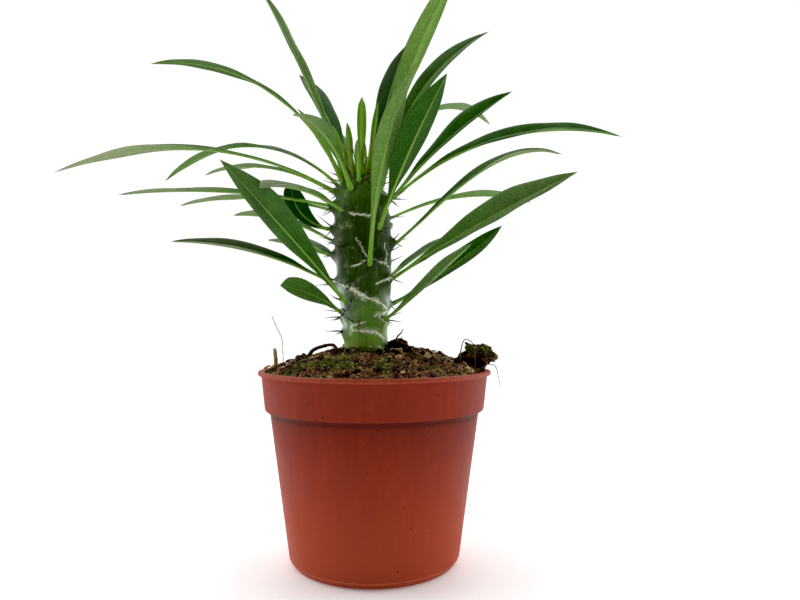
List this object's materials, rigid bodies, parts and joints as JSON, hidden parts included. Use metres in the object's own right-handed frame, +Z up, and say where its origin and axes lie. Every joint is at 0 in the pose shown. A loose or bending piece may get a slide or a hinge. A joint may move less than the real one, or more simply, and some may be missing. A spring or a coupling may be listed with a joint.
{
  "type": "potted pachypodium",
  "caption": "Young spiny-stemmed succulent with a crown of long narrow leaves, rooted in soil in a round tapered nursery pot with a collar; stands on a flat base.",
  "frame": {"origin": "middle of the pot's underside, on the surface it stands on", "axes": "+Z up along the pot's axis; the plant's front faces -Y, +X to the right seen from the front"},
  "size_m": [0.2964, 0.2072, 0.3228],
  "materials": {
    "pot_plastic": "matte terracotta-coloured moulded plastic, faintly scuffed and dusted with soil",
    "potting_soil": "dark crumbly peat and bark with algae-green patches, fully matte",
    "stem_skin": "semi-gloss dark green succulent skin with pale scar lines, grey waxy patches and dark spines",
    "leaf_blade": "satin dark green upper side, paler underside, pale yellow-green midrib and fine side veins",
    "wood_bits": "dry brown roots and a pale bark chip, matte",
    "dry_straw": "dry pale straw, matte",
    "moss": "bright soft green moss"
  },
  "bodies": {
    "root": {"pot": "pot_plastic", "soil": "potting_soil", "stem": "stem_skin", "leaf_01": "leaf_blade", "leaf_02": "leaf_blade", "leaf_03": "leaf_blade", "leaf_04": "leaf_blade", "leaf_05": "leaf_blade", "leaf_06": "leaf_blade", "leaf_07": "leaf_blade", "leaf_08": "leaf_blade", "leaf_09": "leaf_blade", "leaf_10": "leaf_blade", "leaf_11": "leaf_blade", "leaf_12": "leaf_blade", "leaf_13": "leaf_blade", "leaf_14": "leaf_blade", "leaf_15": "leaf_blade", "leaf_16": "leaf_blade", "leaf_17": "leaf_blade", "leaf_18": "leaf_blade", "leaf_19": "leaf_blade", "leaf_20": "leaf_blade", "leaf_21": "leaf_blade", "leaf_22": "leaf_blade", "leaf_23": "leaf_blade", "leaf_24": "leaf_blade", "leaf_25": "leaf_blade", "leaf_26": "leaf_blade", "leaf_27": "leaf_blade", "leaf_28": "leaf_blade", "leaf_29": "leaf_blade", "leaf_30": "leaf_blade", "leaf_31": "leaf_blade", "leaf_32": "leaf_blade", "leaf_33": "leaf_blade", "leaf_34": "leaf_blade", "leaf_35": "leaf_blade", "leaf_36": "leaf_blade", "leaf_37": "leaf_blade", "leaf_38": "leaf_blade", "leaf_39": "leaf_blade", "leaf_40": "leaf_blade", "leaf_41": "leaf_blade", "leaf_42": "leaf_blade", "leaf_43": "leaf_blade", "leaf_44": "leaf_blade", "leaf_45": "leaf_blade", "leaf_46": "leaf_blade", "soil_clod": "potting_soil", "stem_side_clod": "potting_soil", "wood_chip": "wood_bits", "moss_tuft": "moss", "straw_stub": "dry_straw", "straw_bit": "dry_straw", "dry_stalk": "dry_straw", "arched_root": "wood_bits", "looped_root": "wood_bits", "hanging_root": "wood_bits"}
  },
  "joints": []
}
